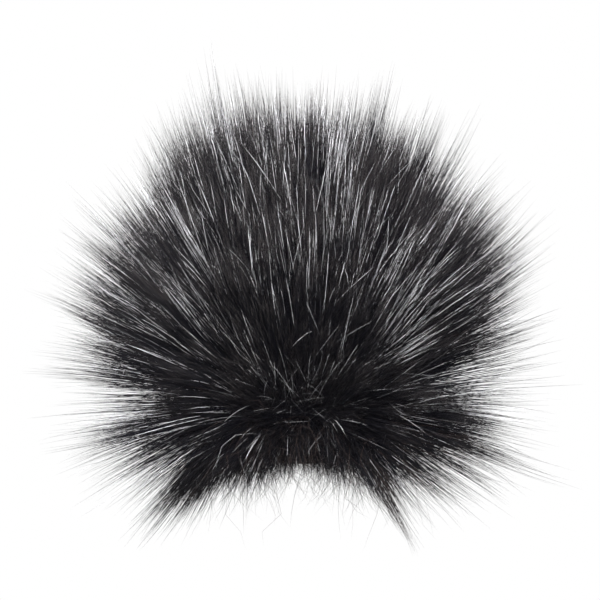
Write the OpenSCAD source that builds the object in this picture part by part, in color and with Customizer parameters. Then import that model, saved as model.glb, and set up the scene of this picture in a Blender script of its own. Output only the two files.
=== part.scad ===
// Lavalier microphone head in a long-pile fur wind muff.
//
// The microphone stands on Z with its sound inlet up. The origin is on the axis
// at the rear end of the clip seat's straight wall. The muff is a pouch sewn
// from two fur panels over a foam core. It slips on from the front, over the
// grille cap, and its elastic mouth stops on the shoulder of the clip seat.

/* [Fur muff] */
// Diameter of the muff across the dense part of its pile
pile_d = 57; // [50:1:66]
// Height of the top of the pile above the clip seat's rear end
pile_top = 47.5; // [42:0.5:54]
// How far the pile hangs below the clip seat's rear end
pile_drop = 3; // [2:0.5:6]
// Thickness of the knitted backing that carries the pile
backing_t = 0.8; // [0.6:0.1:1.2]
// Diameter of the round foam core
core_d = 19; // [18:0.5:22]
// Thickness of the folded fabric of the mouth hem
hem_t = 0.6; // [0.4:0.1:0.7]
// Diameter of the elastic cord in the hem
elastic_d = 1.0; // [0.8:0.1:1.1]
// Width of the sewn joint between the two panels
seam_w = 0.5; // [0.3:0.1:0.8]

/* [Barrel] */
// Diameter of the clip seat at the rear of the barrel
seat_d = 8.4; // [8.2:0.1:9]
// Length of the clip seat
seat_h = 4.5; // [3.5:0.1:4.6]
// Diameter of the barrel in front of the seat
barrel_d = 7.9; // [7.8:0.05:8]
// Length of the barrel up to the cap's joint
barrel_h = 14; // [14:0.1:14.4]

/* [Cable gland] */
// Bore of the gland, which takes the microphone cable
gland_d = 2.2; // [1.6:0.1:2.6]
// Outer diameter of the gland in the barrel's rear wall
gland_od = 3.2; // [3:0.1:3.4]

/* [Grille] */
// Diameter of each sound hole in the cap
hole_d = 0.7; // [0.5:0.05:0.8]
// Sound holes in the inner ring
inner_holes = 6; // [4:1:7]
// Sound holes in the outer ring
outer_holes = 12; // [8:1:14]
// Thickness of the cap's end wall
cap_t = 0.5; // [0.4:0.1:0.6]

/* [Electret capsule] */
// Outer diameter of the capsule's can
can_d = 6.0; // [5.8:0.1:6.1]
// Diameter of the sound hole in the can
can_hole_d = 1.6; // [1:0.1:2]
// Holes through the backplate
plate_holes = 5; // [3:1:6]

/* [Hidden] */
$fn = 96;
e = 0.02;                         // running gap between nested pieces

// Microphone heights, rear face to grille
rear_z   = -0.3;                  // rear face, one chamfer behind the seat
web_h    = 3.0;                   // inner face of the rear wall
lead_r   = 2.0;                   // lead channel behind the capsule
room_z   = 12.0;                  // solder room under the capsule
sleeve_z = 13.4;                  // inner shoulder that the sleeve sits on
can_z    = 13.9;                  // rear rim of the capsule
can_h    = 2.7;
can_top  = can_z + can_h;
spigot_z = barrel_h;              // joint between barrel and cap
spigot_top = 17.2;
barrel_r = barrel_d / 2;
seat_r   = seat_d / 2;
spigot_r = barrel_r - 0.3;
bore_r   = barrel_r - 0.6;        // seat of the capsule sleeve
can_r    = can_d / 2;
can_t    = 0.15;
in_r     = can_r - can_t - e;     // pieces inside the can
board_z  = can_z + can_t + e;     // the stack in the can, from the board up
board_top = board_z + 0.38;
clamp_top = can_top - can_t - e;
film_top = clamp_top - 0.29;
film_z   = film_top - 0.04;
gap_z    = film_z - 0.06;         // air gap set by the spacer ring
plate_top = gap_z - e;
plate_z  = plate_top - 0.3;
mesh_z   = spigot_top + e;
mesh_t   = 0.2;
cap_z    = mesh_z + mesh_t;       // inner face of the cap's end wall
cap_top  = cap_z + cap_t;

// Muff
core_z   = 16.5;                  // centre of the foam core
core_r   = core_d / 2;
back_in  = core_r + 0.08;         // inside of the knitted backing
back_out = back_in + backing_t;
hem_z    = seat_h + 0.1;          // underside of the mouth
hem_in   = barrel_r + 0.15;
hem_out  = hem_in + 2 * hem_t + elastic_d + 0.2;
core_bot = core_z - sqrt(pow(back_in, 2) - pow(hem_out - backing_t - 0.5, 2));
pile_r   = pile_d / 2;
pile_in  = back_out + 0.05;

function half_side(s) = s > 0 ? 180 : 0;   // rear panel turns to +Y, front to -Y

// Outline of the pile in the r-z plane, from the mouth round the skirt to the crown
skirt = [
    [hem_out + 0.3, hem_z + 1.3],
    [0.33 * pile_r, hem_z - 0.6],
    [0.47 * pile_r, hem_z * 0.4],
    [0.61 * pile_r, -pile_drop * 0.30],
    [0.74 * pile_r, -pile_drop * 0.80],
    [0.84 * pile_r, -pile_drop],
    [0.915 * pile_r, -pile_drop * 0.75],
    [0.955 * pile_r, 0.5],
    [0.972 * pile_r, 6]
];
waist_z = 19;
crown = [for (a = [0 : 7.5 : 90])
    [pile_r * pow(cos(a), 0.86), waist_z + (pile_top - waist_z) * pow(sin(a), 0.94)]];

module ring(r0, r1, z0, z1) {
    translate([0, 0, z0]) difference() {
        cylinder(r = r1, h = z1 - z0);
        translate([0, 0, -1]) cylinder(r = r0, h = z1 - z0 + 2);
    }
}

module disc(r, z0, z1) {
    translate([0, 0, z0]) cylinder(r = r, h = z1 - z0);
}

// Holes evenly spaced on a circle
module drill(n, pitch_r, r, z0, z1) {
    for (i = [0 : n - 1])
        rotate([0, 0, 360 / n * i]) translate([pitch_r, 0, z0]) cylinder(r = r, h = z1 - z0, $fn = 32);
}

// ---------------------------------------------------------------- microphone

module barrel() {
    color("#1d1e20") rotate_extrude() polygon([
        [gland_od / 2, rear_z], [seat_r + rear_z, rear_z], [seat_r, 0], [seat_r, seat_h],
        [barrel_r, seat_h], [barrel_r, spigot_z], [spigot_r, spigot_z],
        [spigot_r, spigot_top - 0.15], [spigot_r - 0.1, spigot_top], [bore_r, spigot_top],
        [bore_r, sleeve_z], [bore_r - 0.45, sleeve_z], [bore_r - 0.45, room_z],
        [lead_r, room_z], [lead_r, web_h], [gland_od / 2, web_h]
    ]);
}

module cable_gland() {
    color("#26272a") rotate_extrude() polygon([
        [gland_d / 2, rear_z], [gland_od / 2 - e, rear_z], [gland_od / 2 - e, web_h + e],
        [lead_r - 0.05, web_h + e], [lead_r - 0.05, web_h + 0.7],
        [lead_r - 0.25, web_h + 0.9], [gland_d / 2, web_h + 0.9]
    ]);
}

module capsule_sleeve() {
    color("#3c3d40") rotate_extrude() polygon([
        [2.5, sleeve_z + e], [bore_r - e, sleeve_z + e], [bore_r - e, can_top],
        [can_r + e, can_top], [can_r + e, can_z], [2.5, can_z]
    ]);
}

module capsule_can() {
    color("#b9bcc0") difference() {
        rotate_extrude() polygon([
            [2.35, can_z], [can_r - 0.1, can_z], [can_r, can_z + 0.1],
            [can_r, can_top - 0.12], [can_r - 0.12, can_top], [0, can_top],
            [0, can_top - can_t], [can_r - can_t, can_top - can_t],
            [can_r - can_t, can_z + can_t], [2.35, can_z + can_t]
        ]);
        translate([0, 0, can_top - 1]) cylinder(d = can_hole_d, h = 2, $fn = 48);
    }
}

module capsule_board() { color("#1f6b3a") disc(in_r, board_z, board_top); }

module jfet() {
    color("#17181a") translate([-0.55, -0.4, board_top + 0.1]) cube([1.1, 0.8, 0.45]);
    color("#c9ccd0") {
        for (x = [-0.35, 0.35]) translate([x - 0.1, -0.75, board_top]) cube([0.2, 0.5, 0.1]);
        translate([-0.1, 0.25, board_top]) cube([0.2, 0.5, 0.1]);
    }
}

module board_capacitors() {
    for (s = [-1, 1]) {
        color("#a8835a") translate([-0.3, s * 1.2 - 0.25, board_top]) cube([0.6, 0.5, 0.5]);
        color("#d0d2d4") for (x = [-0.5, 0.3])
            translate([x, s * 1.2 - 0.25, board_top]) cube([0.2, 0.5, 0.5]);
    }
}

// Two pads and their solder on the rear of the board
module solder_terminals() {
    color("#c8cacc") for (s = [-1, 1]) translate([s * 1.05, 0, 0]) {
        translate([0, 0, can_z + can_t - 0.08]) cylinder(r = 0.75, h = 0.08 + e, $fn = 48);
        intersection() {
            translate([0, 0, can_z + can_t - 0.08]) sphere(r = 0.5, $fn = 48);
            translate([-1, -1, can_z - 1]) cube([2, 2, 1 + can_t - 0.08]);
        }
    }
}

module capsule_holder() {
    color("#e4e2da") rotate_extrude() polygon([
        [2.2, board_top + e], [in_r, board_top + e], [in_r, plate_top],
        [2.53, plate_top], [2.53, plate_z - e], [2.2, plate_z - e]
    ]);
}

module gate_ring() { color("#c9a253") ring(1.85, 2.17, board_top + e, plate_z - e); }

module backplate() {
    color("#cbb068") difference() {
        disc(2.5, plate_z, plate_top);
        drill(plate_holes, 1.3, 0.2, plate_z - 1, plate_top + 1);
    }
}

module spacer_ring() { color("#d9d2b8") ring(2.4, in_r, gap_z, film_z); }

module diaphragm() { color("#d8dade") disc(in_r, film_z, film_top); }

module diaphragm_ring() { color("#c59a45") ring(2.4, in_r, film_top, clamp_top); }

module acoustic_felt() { color("#2a2a2c") disc(bore_r - 0.04, can_top + e, spigot_top - 0.2); }

module grille_cap() {
    color("#1d1e20") difference() {
        rotate_extrude() polygon([
            [spigot_r + 0.03, spigot_z + e], [barrel_r, spigot_z + e],
            [barrel_r, cap_top - 0.45], [barrel_r - 0.06, cap_top - 0.22],
            [barrel_r - 0.22, cap_top - 0.06], [barrel_r - 0.45, cap_top],
            [0, cap_top], [0, cap_z], [spigot_r + 0.03, cap_z]
        ]);
        translate([0, 0, cap_z - 1]) cylinder(d = hole_d, h = 3, $fn = 32);
        drill(inner_holes, 1.25, hole_d / 2, cap_z - 1, cap_top + 1);
        drill(outer_holes, 2.45, hole_d / 2, cap_z - 1, cap_top + 1);
    }
}

module grille_mesh() { color("#8d9094") disc(spigot_r - 0.02, mesh_z, cap_z - 0.01); }

// ---------------------------------------------------------------- fur muff

module foam_core() {
    color("#2b2c2e") difference() {
        translate([0, 0, core_z]) sphere(r = core_r);
        translate([-20, -20, core_bot - 40]) cube([40, 40, 40]);
        translate([0, 0, -1]) cylinder(r = barrel_r + 0.05, h = cap_top + 1.1);
    }
}

// Folded fabric channel that holds the elastic cord
module mouth_hem() {
    color("#1b1b1d") rotate_extrude() polygon([
        [hem_in, core_bot], [hem_in, hem_z + 0.25], [hem_in + 0.25, hem_z],
        [hem_out - 0.4, hem_z], [hem_out, hem_z + 0.4], [hem_out, core_bot],
        [hem_out - hem_t, core_bot], [hem_out - hem_t, hem_z + hem_t],
        [hem_in + hem_t, hem_z + hem_t], [hem_in + hem_t, core_bot]
    ]);
}

module elastic_cord() {
    color("#202022") rotate_extrude()
        translate([(hem_in + hem_out) / 2, hem_z + hem_t + elastic_d / 2 + 0.05])
            circle(d = elastic_d, $fn = 48);
}

// One panel of the pouch: half of a round shell, open at the mouth
module backing(side) {
    color("#161618") difference() {
        translate([0, 0, core_z]) sphere(r = back_out);
        translate([0, 0, core_z]) sphere(r = back_in);
        translate([-20, -20, core_bot - 40]) cube([40, 40, 40]);
        rotate([0, 0, half_side(side)])
            translate([-20, -seam_w / 2 - 0.05, -10]) cube([40, 60, 60]);
    }
}

module front_backing() { backing(-1); }
module rear_backing() { backing(1); }

// Overlocked joint between the panels, over the crown from mouth to mouth
module seam_thread() {
    color("#0e0e10") difference() {
        rotate([90, 0, 0]) translate([0, core_z, -seam_w / 2]) difference() {
            cylinder(r = back_out - 0.05, h = seam_w);
            translate([0, 0, -1]) cylinder(r = back_in + 0.05, h = seam_w + 2);
        }
        translate([-20, -20, core_bot - 40]) cube([40, 40, 40]);
    }
}

// Long pile of one panel, from the backing out to the dense outline
module pile(side) {
    color("#131315") difference() {
        rotate([0, 0, half_side(side) + 180]) rotate_extrude(angle = 180)
            polygon(concat(skirt, crown, [[0, core_z], [hem_out + 0.3, core_z]]));
        translate([0, 0, core_z]) sphere(r = pile_in);
        translate([0, 0, hem_z]) cylinder(r = hem_out + 0.3, h = core_z - hem_z);
    }
}

module front_pile() { pile(-1); }
module rear_pile() { pile(1); }

// ---------------------------------------------------------------- assembly

barrel();
cable_gland();
capsule_sleeve();
capsule_can();
capsule_board();
jfet();
board_capacitors();
solder_terminals();
capsule_holder();
gate_ring();
backplate();
spacer_ring();
diaphragm();
diaphragm_ring();
acoustic_felt();
grille_cap();
grille_mesh();
foam_core();
mouth_hem();
elastic_cord();
front_backing();
rear_backing();
seam_thread();
front_pile();
rear_pile();
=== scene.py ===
import math

import bmesh
import bpy
import numpy as np
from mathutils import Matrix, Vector
from mathutils.kdtree import KDTree


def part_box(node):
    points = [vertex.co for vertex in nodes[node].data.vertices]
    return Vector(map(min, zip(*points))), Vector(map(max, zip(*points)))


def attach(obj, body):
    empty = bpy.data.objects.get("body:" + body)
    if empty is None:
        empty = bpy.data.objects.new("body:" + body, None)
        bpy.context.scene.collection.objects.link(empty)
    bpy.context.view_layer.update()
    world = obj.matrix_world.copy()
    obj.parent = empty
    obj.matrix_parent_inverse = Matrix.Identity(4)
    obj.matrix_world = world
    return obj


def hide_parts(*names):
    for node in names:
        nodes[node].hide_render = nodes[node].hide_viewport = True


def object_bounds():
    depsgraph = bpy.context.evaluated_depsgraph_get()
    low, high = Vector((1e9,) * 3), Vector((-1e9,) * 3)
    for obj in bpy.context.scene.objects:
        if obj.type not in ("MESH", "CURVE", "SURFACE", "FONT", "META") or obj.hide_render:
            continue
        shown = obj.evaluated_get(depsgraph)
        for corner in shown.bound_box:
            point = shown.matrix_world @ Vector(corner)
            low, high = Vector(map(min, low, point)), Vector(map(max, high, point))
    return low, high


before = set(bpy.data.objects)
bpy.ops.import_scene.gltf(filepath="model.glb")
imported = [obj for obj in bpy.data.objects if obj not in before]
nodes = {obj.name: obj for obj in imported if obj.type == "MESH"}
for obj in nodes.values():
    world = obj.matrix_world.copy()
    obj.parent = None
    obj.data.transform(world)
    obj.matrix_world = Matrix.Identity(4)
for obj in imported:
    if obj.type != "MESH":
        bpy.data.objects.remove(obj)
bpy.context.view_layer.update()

MM = 0.001
SEED = 11
scene = bpy.context.scene


def mm_box(node):
    lo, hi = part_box(node)
    return [c / MM for c in lo], [c / MM for c in hi]


# ------------------------------------------------------------------ places from the CAD
_blo, _bhi = mm_box("front_backing")
_hlo, _hhi = mm_box("mouth_hem")
_clo, _chi = mm_box("foam_core")
POUCH_R = _bhi[0]                       # outside of the knitted backing
CORE_Z = _bhi[2] - POUCH_R              # its centre
MOUTH_Z = _blo[2]                       # where backing and hem are joined
HEM_R = _hhi[0]
HEM_Z = _hlo[2]
CORE_R = _chi[0]
_slo, _shi = mm_box("barrel")
SEAT_R = _shi[0]
REAR_Z = _slo[2]
THETA_MOUTH = math.degrees(math.acos((MOUTH_Z - CORE_Z) / POUCH_R))


# ------------------------------------------------------------------ node helpers
class Mat:
    """A small wrapper that builds a procedural Principled material."""

    def __init__(self, name):
        self.m = bpy.data.materials.new(name)
        self.m.use_nodes = True
        self.t = self.m.node_tree
        self.t.nodes.clear()
        self.out = self.t.nodes.new("ShaderNodeOutputMaterial")
        self.b = self.t.nodes.new("ShaderNodeBsdfPrincipled")
        self.t.links.new(self.b.outputs[0], self.out.inputs[0])

    def set(self, **kw):
        for k, v in kw.items():
            self.b.inputs[k.replace("_", " ")].default_value = v
        return self

    def node(self, kind, **props):
        n = self.t.nodes.new("ShaderNode" + kind)
        for k, v in props.items():
            setattr(n, k, v)
        return n

    def link(self, a, b):
        self.t.links.new(a, b)

    def math(self, op, a, b=None, clamp=False):
        n = self.node("Math", operation=op, use_clamp=clamp)
        for i, v in enumerate((a, b)):
            if v is None:
                continue
            if isinstance(v, (int, float)):
                n.inputs[i].default_value = v
            else:
                self.link(v, n.inputs[i])
        return n.outputs[0]

    def smooth(self, v, lo, hi):
        n = self.node("MapRange", interpolation_type="SMOOTHSTEP")
        self.link(v, n.inputs["Value"])
        n.inputs["From Min"].default_value = lo
        n.inputs["From Max"].default_value = hi
        return n.outputs["Result"]

    def ramp(self, fac, stops, interp="LINEAR"):
        n = self.node("ValToRGB")
        n.color_ramp.interpolation = interp
        e = n.color_ramp.elements
        while len(e) < len(stops):
            e.new(0.5)
        for el, (p, c) in zip(e, stops):
            el.position = p
            el.color = (*c, 1) if len(c) == 3 else c
        self.link(fac, n.inputs[0])
        return n.outputs[0]

    def mix(self, fac, a, b, blend="MIX"):
        n = self.node("Mix", data_type="RGBA", blend_type=blend)
        for sock, v in ((n.inputs[0], fac), (n.inputs[6], a), (n.inputs[7], b)):
            if isinstance(v, (int, float)):
                sock.default_value = v
            elif isinstance(v, tuple):
                sock.default_value = (*v, 1)
            else:
                self.link(v, sock)
        return n.outputs[2]

    def coords(self, scale=(1, 1, 1)):
        tc = self.node("TexCoord")
        mp = self.node("Mapping")
        self.link(tc.outputs["Object"], mp.inputs[0])
        mp.inputs["Scale"].default_value = scale
        return mp.outputs[0]

    def noise(self, vec, scale, detail=3, rough=0.5):
        n = self.node("TexNoise")
        self.link(vec, n.inputs["Vector"])
        n.inputs["Scale"].default_value = scale
        n.inputs["Detail"].default_value = detail
        n.inputs["Roughness"].default_value = rough
        return n.outputs[0]

    def bump(self, height, strength, distance):
        n = self.node("Bump")
        n.inputs["Strength"].default_value = strength
        n.inputs["Distance"].default_value = distance
        self.link(height, n.inputs["Height"])
        self.link(n.outputs[0], self.b.inputs["Normal"])
        return n.outputs[0]


# ------------------------------------------------------------------ fur
def lerp_table(x, table):
    xs, ys = zip(*table)
    return np.interp(x, xs, ys)


def unit(v):
    return v / np.maximum(np.linalg.norm(v, axis=-1, keepdims=True), 1e-9)


# elevation of the combed hair, in degrees, by its root's angle from the crown
EL_SIDE = [(0, 90), (45, 71), (70, 60), (90, 49), (105, 33), (120, 16), (135, -4), (146, -20), (153, -38), (162, -60)]
EL_FACE = [(0, 90), (45, 75), (70, 66), (90, 58), (105, 54), (120, 52), (135, 52), (148, 52), (154, 50), (157, -40),
           (162, -70)]
# length of the guard hairs, in mm
LEN_SIDE = [(0, 22.5), (45, 22.5), (90, 22.3), (120, 22.5), (135, 22.8), (146, 23.4), (153, 20.5), (162, 13.5)]
LEN_FACE = [(0, 22.5), (38, 22.0), (48, 18.5), (57, 16.5), (70, 17.0), (90, 18.0), (105, 16.5), (120, 13.5), (135, 11.5),
            (148, 10.0), (154, 9.2), (157, 8.2), (162, 7.4)]
# share of hairs that carry painted sheen, silver albedo standing in for the gloss of the black fibre: most at the
# crown, where the top lamp falls, least toward the mouth; on the face a painted shade band at 42 to 54 degrees, above
# the front lobe
PAINTED_SHEEN_SIDE = [(0, 0.22), (30, 0.14), (45, 0.08), (70, 0.065), (95, 0.06), (120, 0.05), (140, 0.045), (162, 0.02)]
PAINTED_SHEEN_FACE = [(0, 0.22), (25, 0.16), (42, 0.03), (54, 0.03), (66, 0.11), (95, 0.11), (110, 0.04), (130, 0.025), (162, 0.008)]


def surface(n, rng, hem_weight=2.2):
    """n roots spread over the pouch, denser on its folded hem: position, normal, angle from the crown, azimuth."""
    c_lo = math.cos(math.radians(THETA_MOUTH))
    sphere_area = 2 * math.pi * POUCH_R ** 2 * (1 - c_lo)
    hem_area = 2 * math.pi * HEM_R * (MOUTH_Z - HEM_Z) * hem_weight
    on_hem = rng.random(n) < hem_area / (hem_area + sphere_area)
    phi = rng.random(n) * 2 * math.pi
    c = 1 - rng.random(n) * (1 - c_lo)
    th = np.arccos(c)
    h = rng.random(n)
    return place(np.where(on_hem, THETA_MOUTH + h * (162 - THETA_MOUTH), np.degrees(th)), phi)


def place(theta, phi):
    """Root, normal, angle and azimuth of a station on the pouch. Stations past the mouth run down the hem."""
    on_hem = theta > THETA_MOUTH
    h = np.clip((theta - THETA_MOUTH) / (162 - THETA_MOUTH), 0, 1)
    th = np.radians(theta)
    z = np.where(on_hem, MOUTH_Z - h * (MOUTH_Z - HEM_Z - 0.25), CORE_Z + POUCH_R * np.cos(th))
    r = np.where(on_hem, HEM_R, POUCH_R * np.sin(th))
    nr = np.where(on_hem, 0.97, np.sin(th))
    nz = np.where(on_hem, -0.25, np.cos(th))
    p = np.stack([r * np.cos(phi), r * np.sin(phi), z], 1)
    nrm = unit(np.stack([nr * np.cos(phi), nr * np.sin(phi), nz], 1))
    return p, nrm, theta, phi


def painted_sheen_share(theta, phi):
    s = sideness(phi, theta)
    # painted sheen is stronger on the left, the side the key lamp lights, and weaker on the right
    left = 1.0 - 0.22 * np.cos(phi)
    return (lerp_table(theta, PAINTED_SHEEN_FACE) * (1 - s) + lerp_table(theta, PAINTED_SHEEN_SIDE) * s) * left


MIDDLE_Z = 21.3


def bearing(x, z):
    """Direction of a point from the muff's middle in the front view, in degrees: 0 is down, 90 is +X, 180 is up."""
    return np.mod(np.degrees(np.arctan2(z - MIDDLE_Z, x)) + 90, 360)


def tufts(at_bearing):
    """How far the tufts of the outline reach in each direction of the front view, 1 on average."""
    return lerp_table(at_bearing, [
        (0, 0.9), (20, 0.95), (30, 1.0), (40, 1.1), (47, 1.0), (53, 1.22), (58, 1.1), (65, 0.97), (75, 0.93), (82, 0.90),
        (88, 1.0), (93, 0.94), (100, 1.05), (108, 1.02), (116, 1.1), (123, 1.08), (130, 0.84), (137, 0.95),
        (145, 1.05), (152, 0.86), (158, 0.92), (166, 0.86), (175, 0.85), (185, 0.9), (193, 0.96), (201, 1.06),
        (208, 1.06), (214, 0.98), (222, 0.89), (230, 0.85), (238, 0.91), (245, 1.02), (252, 0.92), (259, 1.02),
        (266, 1.07), (273, 0.99), (280, 1.09), (286, 1.16), (293, 0.92), (299, 0.98), (304, 1.13), (310, 1.07),
        (317, 1.12), (324, 1.26), (330, 1.2), (336, 1.0), (345, 0.88), (360, 0.9)])


def thickness(at_bearing):
    """Where the pile parts between its larger tufts: the share of dark hairs that reach past a distance from the
    middle in mm, and that distance."""
    share = lerp_table(at_bearing, [
        (0, 1), (14, 0.8), (20, 0.5), (40, 0.3), (47, 0.5), (50, 0.95), (58, 0.95), (62, 0.2), (73, 0.18), (78, 0.9), (124, 0.95),
        (128, 0.5), (134, 0.55), (138, 1), (149, 1), (153, 0.75), (163, 0.75), (168, 1), (227, 1), (231, 0.7),
        (238, 0.7), (242, 0.95), (280, 0.95), (286, 0.55), (296, 0.28), (300, 0.3), (303, 0.6), (307, 0.45), (316, 0.35), (321, 0.2), (326, 0.5),
        (331, 0.65), (338, 0.45), (350, 1), (360, 1)])
    beyond = lerp_table(at_bearing, [(0, 24.0), (18, 24.5), (28, 25.0), (45, 25.0), (50, 27.0), (56, 26.5), (60, 21.0),
                                     (66, 19.8), (74, 20.8), (80, 24.0), (90, 24.5), (285, 24.5), (300, 24.0), (304, 25.0), (318, 23.5), (328, 25.5), (340, 25.5), (360, 24.5)])
    return share, beyond


def sideness(phi, theta):
    """1 where the panel faces sideways, 0 at the middle of the front and rear. The skirt turns sideways sooner."""
    p = lerp_table(theta, [(0, 1.5), (110, 1.5), (150, 1.05), (162, 0.95)])
    return np.abs(np.cos(phi)) ** p


def reach(theta, phi):
    s = sideness(phi, theta)
    return lerp_table(theta, LEN_FACE) * (1 - s) + lerp_table(theta, LEN_SIDE) * s


def comb(theta, phi, rng, el_sd, az_sd):
    """The combed direction at a root."""
    s = sideness(phi, theta)
    el = lerp_table(theta, EL_FACE) * (1 - s) + lerp_table(theta, EL_SIDE) * s
    el = el + 9.0 * np.clip(np.cos(phi), 0, 1) * s * np.clip((theta - 125) / 20, 0, 1)
    n = len(theta)
    # the pile parts low on each side, above the skirt's tufts
    for towards, el0, push in ((1, 15.0, 6.0), (-1, 3.0, 5.0)):
        here = np.clip(towards * np.cos(phi), 0, 1) ** 2
        x = (el - el0) / 11.0
        el = el + push * here * np.sign(x) * np.exp(-x * x) * np.minimum(1, np.abs(x) * 4)
    el = el + rng.normal(0, el_sd, n)
    az = phi + np.radians(rng.normal(0, az_sd, n) + 4.0 * np.sin(phi - 0.6))
    el = np.radians(el)
    return np.stack([np.cos(el) * np.cos(az), np.cos(el) * np.sin(az), np.sin(el)], 1)


def grow(p, nrm, d, length, curl, droop, steps, power=1.6):
    """Paths of steps + 1 points from p: out of the skin, then bending over into the combed direction."""
    n = len(p)
    pts = np.empty((n, steps + 1, 3))
    pts[:, 0] = p
    for k in range(steps):
        t = (k + 0.5) / steps
        s = min(1.0, t / 0.40)
        b = 0.45 + 0.55 * s * s * (3 - 2 * s)
        v = unit(nrm * (1 - b) + d * b)
        v = v + curl * (t ** power)
        v[:, 2] -= droop * t * t
        v = unit(v)
        pts[:, k + 1] = pts[:, k] + v * (length / steps)[:, None]
    return pts


def grow_to(p, nrm, goal, share, curl, droop, steps):
    """Paths that end at goal, or at the given share of the way to it."""
    way = goal - p
    length = np.linalg.norm(way, axis=1) * 1.04
    for _ in range(4):
        path = grow(p, nrm, unit(way), length, curl, droop, steps)
        way = unit(way) * length[:, None] + (goal - path[:, -1]) * 0.9
    return at(path, np.arange(len(p)), np.linspace(0, 1, steps + 1)[None, :] * share[:, None])


def coils(p, nrm, d, length, amp, turns, steps, rng):
    """Short curly hairs: a path along d with a sideways wave round it."""
    n = len(p)
    base = grow(p, nrm, d, length, np.zeros((n, 3)), np.zeros(n), steps)
    ref = unit(np.cross(d, rng.normal(0, 1, (n, 3))))
    oth = np.cross(d, ref)
    t = np.linspace(0, 1, steps + 1)[None, :]
    ph = rng.uniform(0, 2 * math.pi, n)[:, None]
    w = (turns[:, None] * 2 * math.pi * t + ph)
    grow_in = np.minimum(1, t * 3)
    off = (np.cos(w)[..., None] * ref[:, None, :] + np.sin(w)[..., None] * oth[:, None, :])
    off0 = np.cos(ph)[..., None] * ref[:, None, :] + np.sin(ph)[..., None] * oth[:, None, :]
    return base + (off - off0) * (amp[:, None] * grow_in)[..., None]


def at(paths, idx, s):
    """Points of paths[idx] at the share s of their length, (n, k) in, (n, k, 3) out. Runs on past the tip."""
    m = paths.shape[1] - 1
    x = np.clip(s, 0, 1.3) * m
    i = np.clip(np.floor(x).astype(int), 0, m - 1)
    f = (x - i)[..., None]
    a = paths[idx[:, None], i]
    b = paths[idx[:, None], i + 1]
    return a + (b - a) * f


def nearest(a, b):
    out = np.empty(len(a), int)
    bb = (b * b).sum(1)
    for i in range(0, len(a), 4000):
        d = bb[None, :] - 2 * a[i:i + 4000] @ b.T
        out[i:i + 4000] = d.argmin(1)
    return out


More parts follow.
